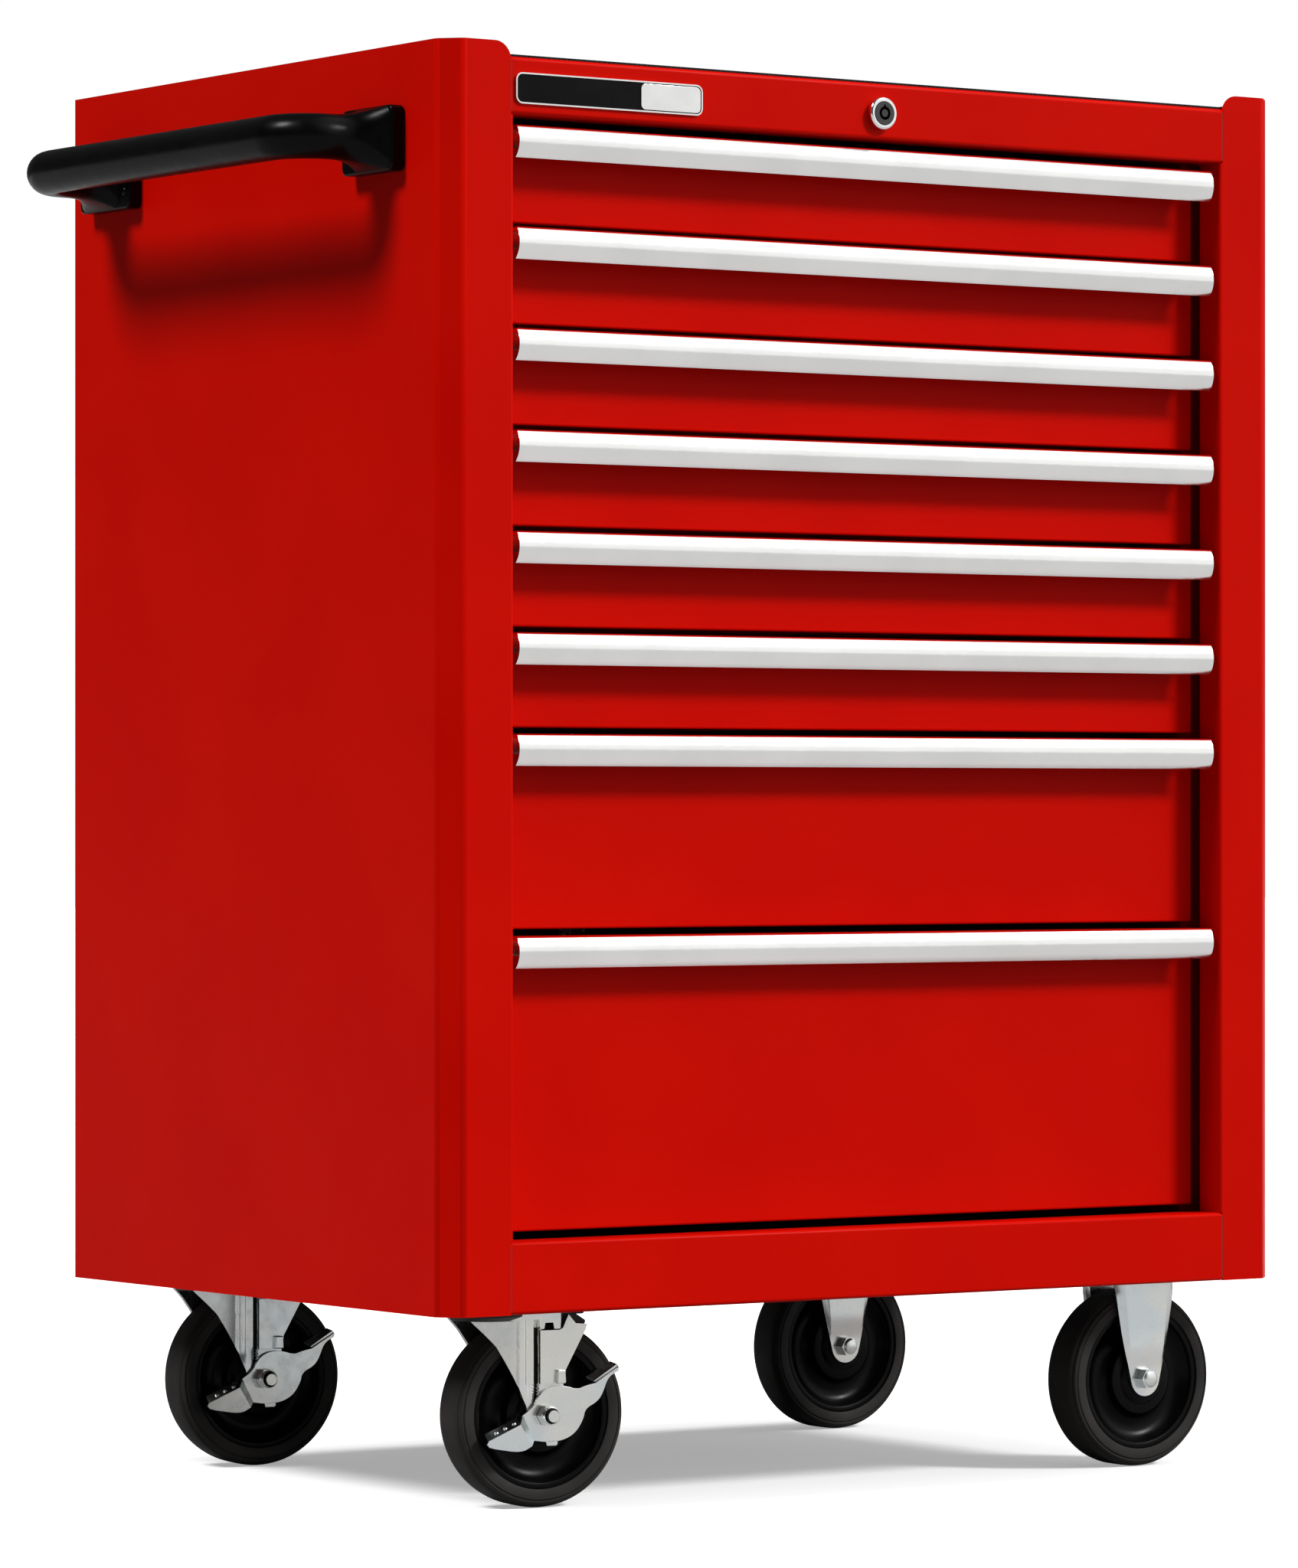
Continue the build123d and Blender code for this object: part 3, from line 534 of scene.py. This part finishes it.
# Half sections of the wheel as (along the axle, radius), from the middle outwards and inwards.
tyre_half_profile = [
    (0.0, 62.5), (9.0, 62.4), (11.5, 62.0), (12.6, 61.2), (13.0, 60.6), (13.2, 60.2), (13.8, 60.3),
    (14.8, 59.9), (15.5, 59.2), (15.8, 58.5), (15.7, 58.0), (15.2, 57.6), (15.6, 57.1), (16.0, 56.6),
    (16.0, 50.6), (15.7, 50.1), (14.8, 49.9),
]
rim_half_profile = [
    (14.4, 50.0), (14.6, 49.5), (14.6, 47.0), (14.2, 46.0), (12.4, 45.4), (11.6, 44.6), (9.5, 43.0),
    (7.6, 40.5), (6.4, 37.5), (6.0, 34.0), (6.6, 30.5), (8.2, 27.8), (10.5, 26.4), (13.2, 25.6),
    (14.2, 25.0), (14.6, 23.5), (14.8, 19.0), (16.2, 17.6), (16.8, 16.6), (16.8, 6.1),
]


def both_sides(half_profile):
    """Closed profile from the half that lies on +y."""
    mirrored = [(-along, radius) for along, radius in reversed(half_profile) if along > 0]
    return half_profile + mirrored


def wheel(name, place):
    """Tyre and rim, in place of the CAD ones."""
    body = f"{name}_wheel"
    tyre = lathe(both_sides(tyre_half_profile))
    new_piece(f"{name}_tyre_ring", *tyre, place, body, "grey_rubber", (f"{name}_tyre",))
    rim = lathe(both_sides(rim_half_profile))
    new_piece(f"{name}_rim_disc", *rim, place, body, "black_plastic", (f"{name}_rim",))


def foot_arc(side):
    """Rounded lower end of a fork leg, from its lowest point up."""
    arc = []
    for step in range(7):
        angle = math.radians(-90 + 13 * step)
        arc.append((side * leg_foot_radius * math.cos(angle), leg_foot_radius * math.sin(angle)))
    return arc


def smooth_rise(value, start, end):
    """0 up to start, 1 from end on, and a soft rise between them."""
    share = min(max((value - start) / (end - start), 0), 1)
    return share * share * (3 - 2 * share)


# Fixed castors: tapered channel legs with sloping flanges, under a flat plate.
fixed_top = 91.0                  # underside of the plate above the axle
fixed_widening = [(16.7, 15.8), (20.7, 33.0), (24.2, 52.0), (26.3, 66.0), (29.5, fixed_top)]


def fixed_face(x, z):
    """Raised flat in the middle, with flanges folded back towards the wheel, most above the tyre."""
    half_width = edge_at(fixed_right, z)
    flange = 5.5 * smooth_rise(z, -6, 60) + 0.8
    rise = 1.6 * smooth_rise(z, 4, 24)
    fall = 1.5 * rise + 0.22 * max(z - 60, 0)
    return -leg_outer - rise + fall * max(abs(x) - half_width + flange, 0) / flange


fixed_right = foot_arc(1) + fixed_widening
fixed_left = foot_arc(-1) + [(-x, z) for x, z in fixed_widening]
bolt_top = [(-27.2, 0.0), (-27.2, 4.4), (-26.9, 5.0), (-25.9, 6.2), (-25.9, 0.0)]
fixed_plate = rounded_rectangle(52.5, 40, 6)
fixed_plate_sheet = 3.5
leg_heights = [z for x, z in foot_arc(1)] + steps(2, fixed_top, 40)
for name in castor_rows:
    place = wheel_place(f"{name}_fixed_wheel_spin")
    wheel(f"{name}_fixed", place)
    legs = []
    for mirror in (1, -1):
        legs.append(
            pressed(fixed_left, fixed_right, leg_heights, steps(0, 1, 48), fixed_face, mirror)
        )
    leg_piece = new_piece(
        f"{name}_fixed_legs", *joined(*legs), place, "cabinet", "zinc_steel",
        ("fixed_castor_forks",) if name == "front" else (), sharp=50,
    )
    thickened(leg_piece, leg_sheet, 0.6)
    new_piece(
        f"{name}_fixed_bolt_top", *lathe(bolt_top, 48), place, "cabinet", "zinc_steel", sharp=30
    )
    plate_rings = []
    for height in (fixed_top, fixed_top + fixed_plate_sheet):
        plate_rings.append([(x, -height, y) for x, y in fixed_plate])
    lying = place @ Matrix.Rotation(math.radians(-90), 4, "X")
    plate_piece = new_piece(
        f"{name}_fixed_plate", *rings(plate_rings), lying, "cabinet", "zinc_steel"
    )
    bevelled(plate_piece, 0.6)

# Swivel castors: broad legs, pressed inwards at the left, with a crown and a locking plate. Edges
# and outlines are (x, z) points.
swivel_near_left = foot_arc(-1) + [
    (-13.2, 5.7), (-17.8, 15.1), (-22.8, 25.5), (-28.5, 35.9), (-34.6, 46.4), (-42.6, 54.8),
    (-50.0, 62.0), (-55.0, 68.0), (-57.0, body_rise),
]
swivel_far_left = foot_arc(-1) + [
    (-20.9, 5.7), (-24.5, 15.1), (-30.4, 25.5), (-35.0, 35.9), (-40.9, 46.4), (-49.2, 56.8),
    (-59.8, 66.7), (-61.0, body_rise),
]
swivel_near_right = foot_arc(1) + [(12.0, 8.0), (-3.5, 20.0), (-4.0, body_rise)]
swivel_far_right = foot_arc(1) + [(16.0, 20.0), (31.0, 57.0), (31.0, body_rise)]
rib_left, rib_right = -20.9, -13.4
slot_left, slot_right = -7.4, -4.4


def swivel_face(x, z):
    """Curls inwards left of an upright rib, and has a deep upright groove beside the locking plate."""
    curl = max(rib_left - x, 0) / 35
    rib = smooth_rise(x, rib_left, rib_left + 1.5) * (1 - smooth_rise(x, rib_right - 1.5, rib_right))
    rib *= smooth_rise(z, 10, 20)
    groove = smooth_rise(x, slot_left - 0.6, slot_left + 0.4)
    groove *= 1 - smooth_rise(x, slot_right - 0.4, slot_right + 0.6)
    return -leg_outer + 9 * curl**1.3 - 1.2 * rib + 2.2 * groove * smooth_rise(z, 4, 7)


swivel_heights = [z for x, z in foot_arc(1)] + steps(2, body_rise, 32)
plate_foot = 20.6                 # the locking plate is thinner below this, under the brake lever
locking_plate = [
    (-4.2, plate_foot), (14.0, plate_foot), (14.8, 29.7), (29.8, 56.4), (30.6, 59.6), (22.2, 60.4),
    (16.8, 66.6), (12.6, 57.6), (10.2, 56.4), (-4.2, 56.4),
]
locking_tail = [(-4.2, 4.0), (14.0, 10.0), (14.0, 20.8), (-4.2, 20.8)]
crown_skirt = [
    (-34.0, 63.5), (-4.8, 63.5), (-4.2, 57.2), (-1.0, 57.2), (-0.2, 61.2), (5.6, 61.2), (6.4, 57.0),
    (11.0, 57.0), (11.4, 62.0), (11.4, body_rise), (-34.0, body_rise),
]
crown_outline = [(-57, 17.6), (31, 17.6), (31, -17.6), (-61, -17.6)]        # (x, depth), from above
crown_sheet = 3
crown_side = [
    (9.0, 56.0), (22.0, 56.0), (31.0, 60.0), (31.0, 62.0), (20.0, body_rise), (9.0, body_rise)
]
# Section of the bearing as (rise above the axle, radius about the king pin).
bearing_profile = [
    (63.0, 7.1), (63.0, 22.0), (66.0, 27.0), (69.0, 27.0), (88.0, 24.0), (90.0, 22.0), (90.0, 7.1)
]
# Outline of a thin black strip that is painted shade in the groove beside the locking plate.
groove_shade_outline = [(slot_left, 6.0), (slot_right, 6.0), (slot_right, 58.0), (slot_left, 58.0)]
nut_collar = [(-31.6, 5.3), (-31.8, 5.6), (-31.6, 5.9), (-30.6, 6.2), (-28.9, 6.3), (-28.9, 5.3)]
nut_insert = [(-31.1, 4.1), (-31.3, 4.4), (-31.1, 5.3), (-28.9, 5.3), (-28.9, 4.1)]
lever_face = -23.0                # y of the brake lever's face
pedal_face = -30.0                # y of its release pedal, which stands further out
lever_sheet = 2.4
release_tread_depth, brake_tread_depth = -20.8, -15.5    # y of the treads' inner edges


def softened(points, rounds=2):
    """Open outline with its corners cut, ends kept."""
    for _ in range(rounds):
        cut = [points[0]]
        for (x_from, z_from), (x_to, z_to) in zip(points, points[1:]):
            cut.append((x_from * 0.75 + x_to * 0.25, z_from * 0.75 + z_to * 0.25))
            cut.append((x_from * 0.25 + x_to * 0.75, z_from * 0.25 + z_to * 0.75))
        cut.append(points[-1])
        points = cut
    return points


def lever_shape():
    """Brake lever as a bent sheet: round plate and brake arm, joggle, release pedal and two treads."""
    disc_upper = [
        (-17.5, 0.5), (-9.8, 5.4), (-5.0, 14.0), (1.0, 18.0), (7.8, 19.3), (14.0, 18.8), (22.8, 16.2),
        (29.0, 18.5), (37.0, 20.0),
    ]
    disc_lower = [
        (54.0, 27.5), (46.0, 23.6), (42.0, 12.9), (38.0, 7.5), (29.0, 3.2), (27.5, -4.0), (21.5, -12.9),
        (12.0, -17.4), (0.0, -18.0), (-9.0, -16.6),
    ]
    disc = softened(disc_upper) + [(54.0, 30.0)] + softened(disc_lower)
    corners = [(x, lever_face, z) for x, z in disc]
    disc_face = tuple(reversed(range(len(corners))))
    fold_top, fold_bottom = 0, len(corners) - 1
    arm_root, arm_tip = len(softened(disc_upper)) - 1, len(softened(disc_upper))
    pedal = [(-22.5, -5.0), (-46.0, -15.0), (-47.2, -17.2), (-45.5, -19.2)]
    pedal += softened([(-41.0, -20.4), (-22.0, -23.6), (-14.0, -19.5)])
    start = len(corners)
    corners += [(x, pedal_face, z) for x, z in pedal]
    end = len(corners) - 1
    faces = [disc_face, tuple(range(start, end + 1)), (fold_bottom, fold_top, start, end)]
    tread_start = len(corners)
    corners += [(-21.0, release_tread_depth, -1.0), (-44.5, release_tread_depth, -11.0)]
    faces.append((start + 1, start, tread_start, tread_start + 1))
    corners += [(34.0, brake_tread_depth, 22.0), (52.0, brake_tread_depth, 31.6)]
    faces.append((arm_tip, arm_root, tread_start + 2, tread_start + 3))
    return corners, faces


def grip_dots():
    """Raised dots on both treads of the brake lever."""
    dots = []
    for x, z in ((-25.5, -4.4), (-32.0, -7.2), (-38.5, -9.9)):
        dots.append(dome((x, -25.4, z), (-0.3, -0.36, 0.88), 1.7, 0.8))
    for x, z in ((38.5, 22.6), (43.0, 25.1), (47.5, 27.6)):
        dots.append(dome((x, -19.2, z), (-0.45, -0.45, 0.77), 1.6, 0.8))
    return joined(*dots)


lever_tab = [(7.0, 20.8), (13.6, 20.8), (13.2, 29.8), (7.4, 29.8)]
lower_tab = [(-0.5, -17.0), (8.5, -16.6), (8.5, -19.6), (7.5, -20.6), (0.5, -20.6)]
swivel_near_edges = (swivel_near_left, swivel_near_right)
swivel_far_edges = (swivel_far_left, swivel_far_right)
for name in castor_rows:
    place = wheel_place(f"{name}_swivel_wheel_spin")
    swivel, brake = f"{name}_swivel", f"{name}_brake"
    wheel(swivel, place)
    legs = []
    for mirror, edges in ((1, swivel_near_edges), (-1, swivel_far_edges)):
        legs.append(pressed(*edges, swivel_heights, steps(0, 1, 90), swivel_face, mirror))
    leg_piece = new_piece(
        f"{swivel}_legs", *joined(*legs), place, swivel, "zinc_steel", (f"{swivel}_fork",), sharp=50
    )
    thickened(leg_piece, leg_sheet, 0.5)
    lying = place @ Matrix.Rotation(math.radians(-90), 4, "X")
    # Painted shade: the crown, its side plate and the bearing are painted black to stand in for the
    # shade they sit in under the chest.
    crown = prism(crown_outline, -body_rise, -body_rise + crown_sheet)
    bevelled(new_piece(f"{swivel}_crown", *crown, lying, swivel, "black_paint"), 1.2)
    side = prism(crown_side, -19.0, -17.0)
    bevelled(new_piece(f"{swivel}_crown_side", *side, place, swivel, "black_paint"), 0.5)
    pin_spot = joints[f"{name}_swivel_turn"]["pos_m"]
    pin = Matrix.Translation(pin_spot) @ Matrix.Rotation(math.radians(90), 4, "X")
    pin_drop = pin_spot[2] / MM - joints[f"{name}_swivel_wheel_spin"]["pos_m"][2] / MM
    bearing = lathe([(rise - pin_drop, radius) for rise, radius in bearing_profile], 64)
    new_piece(f"{swivel}_bearing", *bearing, pin, swivel, "black_paint", sharp=30)
    plates = joined(
        prism(locking_plate, -22.4, -20.02),
        prism(locking_tail, -20.42, -20.02),
        prism(crown_skirt, -22.0, -19.6),
    )
    bevelled(new_piece(f"{swivel}_locking_plate", *plates, place, swivel, "zinc_steel"), 0.35)
    # Painted shade: a thin black strip deep in the groove beside the locking plate stands in for the
    # shade there.
    groove_shade_solid = prism(groove_shade_outline, -18.4, -18.2)
    new_piece(f"{swivel}_plate_groove_shade", *groove_shade_solid, place, swivel, "black_plastic")
    upper_tab_solid = prism(lever_tab, -25.5, -22.0)
    bevelled(new_piece(f"{swivel}_tab", *upper_tab_solid, place, swivel, "zinc_steel"), 0.8)
    lower_tab_solid = prism(lower_tab, lever_face, lever_face + lever_sheet)
    bevelled(new_piece(f"{brake}_tab", *lower_tab_solid, place, brake, "zinc_steel"), 0.5)
    new_piece(f"{swivel}_nut_collar", *lathe(nut_collar, 48), place, swivel, "zinc_steel")
    new_piece(f"{swivel}_nut_insert", *lathe(nut_insert, 48), place, swivel, "black_plastic")
    lever = new_piece(
        f"{brake}_pedals", *lever_shape(), place, brake, "zinc_steel", (f"{brake}_lever",), sharp=20
    )
    thickened(lever, lever_sheet, 0.45)
    new_piece(f"{brake}_dots", *grip_dots(), place, brake, "zinc_steel")

# ---- Back -----------------------------------------------------------------------------------
# Two rows of rivets hold the back panel to the side panels' flanges.
flange_middle = 11.0              # from the body's side
rivets = []
for rivet_x in (left + flange_middle, right - flange_middle):
    for rivet_z in steps(base + 40, top - 60, 6):
        rivets.append(dome((rivet_x, back, rivet_z), (0, 1, 0), 3.6, 1.5))
new_piece("back_rivets", *joined(*rivets), in_row, "cabinet", "red_paint")

# ---- Camera, floor and light ----------------------------------------------------------------
# A long lens from the left front, level, at about half the chest's height.
camera_data = bpy.data.cameras.new("camera")
camera_data.sensor_width = 36.0
camera_data.lens = 157.72
camera_data.shift_y = 0.0183
camera_data.clip_end = 60.0
camera = bpy.data.objects.new("camera", camera_data)
camera.location = (-2.7338, -4.0007, 0.4625)
camera.rotation_euler = (math.radians(90), 0, math.radians(-34.505))
bpy.context.scene.collection.objects.link(camera)
bpy.context.scene.camera = camera

floor_mesh = bpy.data.meshes.new("floor")
reach = 25.0                      # metres from the middle to each edge
floor_corners = [(-reach, -reach, 0), (reach, -reach, 0), (reach, reach, 0), (-reach, reach, 0)]
floor_mesh.from_pydata(floor_corners, [], [(0, 1, 2, 3)])
floor = bpy.data.objects.new("floor", floor_mesh)
bpy.context.scene.collection.objects.link(floor)
floor_material, floor_tree, floor_shader, floor_place = new_material("studio_floor")
floor_mottling = ramp(
    floor_tree, noise(floor_tree, floor_place, 3.0), [(0.3, (0.88,) * 3), (0.7, (0.90,) * 3)]
)
floor_tree.links.new(floor_mottling, floor_shader.inputs["Base Color"])
floor_shader.inputs["Roughness"].default_value = 0.9
floor_shader.inputs["Specular IOR Level"].default_value = 0.0
floor_shader.inputs["Emission Color"].default_value = (1.0, 1.0, 1.0, 1)
floor_shader.inputs["Emission Strength"].default_value = 0.35
# The floor throws less light back on the chest than it shows: least on matt surfaces, and more
# in the reflections of shiny ones.
floor_dim = floor_tree.nodes.new("ShaderNodeBsdfDiffuse")
floor_mix = floor_tree.nodes.new("ShaderNodeMixShader")
floor_ray = floor_tree.nodes.new("ShaderNodeLightPath")
floor_bounce = ramp(
    floor_tree, floor_ray.outputs["Is Glossy Ray"], [(0.0, (0.20,) * 3), (1.0, (0.46,) * 3)]
)
floor_tree.links.new(floor_bounce, floor_dim.inputs["Color"])
floor_tree.links.new(floor_ray.outputs["Is Camera Ray"], floor_mix.inputs["Fac"])
floor_tree.links.new(floor_dim.outputs["BSDF"], floor_mix.inputs[1])
floor_tree.links.new(floor_shader.outputs["BSDF"], floor_mix.inputs[2])
floor_output = floor_tree.nodes["Material Output"]
floor_tree.links.new(floor_mix.outputs["Shader"], floor_output.inputs["Surface"])
floor_mesh.materials.append(floor_material)

# White studio: dim all round, with a broad bright panel to the right of the front.
world = bpy.data.worlds.new("studio")
world.use_nodes = True
world_tree = world.node_tree
panel_direction = (0.64, -0.50, 0.58)
directions = world_tree.nodes.new("ShaderNodeTexCoord")
facing = world_tree.nodes.new("ShaderNodeVectorMath")
facing.operation = "DOT_PRODUCT"
facing.inputs[1].default_value = panel_direction
world_tree.links.new(directions.outputs["Generated"], facing.inputs[0])
panel = spread(world_tree, facing.outputs["Value"], 0.09, 1.0, 0.62, 0.78)
room = world_tree.nodes["Background"]
world_tree.links.new(panel, room.inputs["Strength"])
backdrop = world_tree.nodes.new("ShaderNodeBackground")
backdrop.inputs["Color"].default_value = (1.0, 1.0, 1.0, 1)
room.inputs["Color"].default_value = (1.0, 1.0, 1.0, 1)
backdrop_mix = world_tree.nodes.new("ShaderNodeMixShader")
world_ray = world_tree.nodes.new("ShaderNodeLightPath")
world_tree.links.new(world_ray.outputs["Is Camera Ray"], backdrop_mix.inputs["Fac"])
world_tree.links.new(room.outputs["Background"], backdrop_mix.inputs[1])
world_tree.links.new(backdrop.outputs["Background"], backdrop_mix.inputs[2])
world_output = world_tree.nodes["World Output"]
world_tree.links.new(backdrop_mix.outputs["Shader"], world_output.inputs["Surface"])
bpy.context.scene.world = world


def soft_sun(name, toward, strength, spread_angle):
    """A distant soft light that comes from a direction."""
    data = bpy.data.lights.new(name, "SUN")
    data.energy = strength
    data.angle = math.radians(spread_angle)
    lamp = bpy.data.objects.new(name, data)
    lamp.rotation_euler = Vector(toward).to_track_quat("Z", "Y").to_euler()
    bpy.context.scene.collection.objects.link(lamp)


soft_sun("left_key", (-0.63, 0.05, 0.78), 2.75, 18)
soft_sun("front_key", (0.50, -0.62, 0.60), 2.35, 12)

bpy.context.scene.view_settings.view_transform = "Standard"
bpy.context.scene.view_settings.look = "None"
